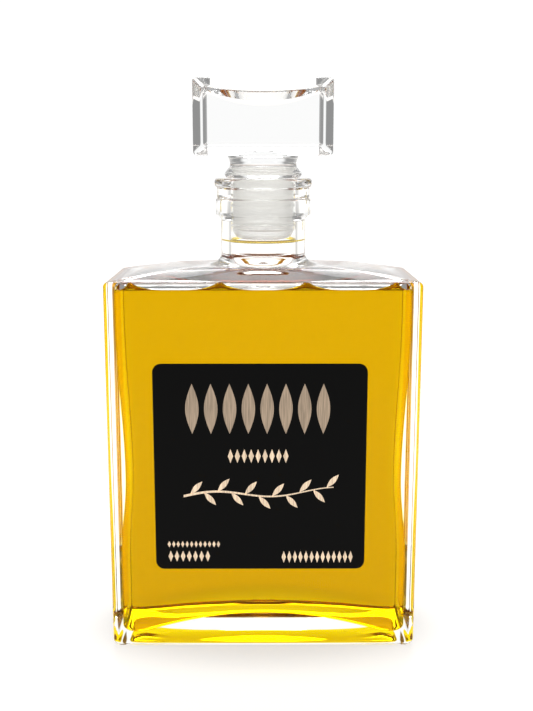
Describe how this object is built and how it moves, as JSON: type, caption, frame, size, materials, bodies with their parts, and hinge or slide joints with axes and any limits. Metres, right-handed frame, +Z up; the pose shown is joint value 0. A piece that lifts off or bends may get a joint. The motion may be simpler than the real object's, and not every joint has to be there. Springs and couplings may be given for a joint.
{
  "type": "olive oil bottle",
  "caption": "Flat square-shouldered clear glass bottle filled with golden olive oil, with a plain dark front label and a block-shaped glass stopper.",
  "frame": {"origin": "middle of the base, on the surface the bottle stands on", "axes": "+Z up through the neck, -Y towards the label, X along the bottle's width"},
  "size_m": [0.136, 0.0605, 0.2512],
  "materials": {
    "bottle_glass": "clear polished flint glass",
    "olive_oil": "clear golden oil",
    "label": "matte black label with bronze print",
    "stopper_glass": "clear polished solid glass",
    "stopper_seal": "translucent soft plastic"
  },
  "bodies": {
    "root": {"bottle_glass": "bottle_glass", "olive_oil": "olive_oil", "label": "label", "stopper_glass": "stopper_glass", "stopper_seal": "stopper_seal"}
  },
  "joints": []
}
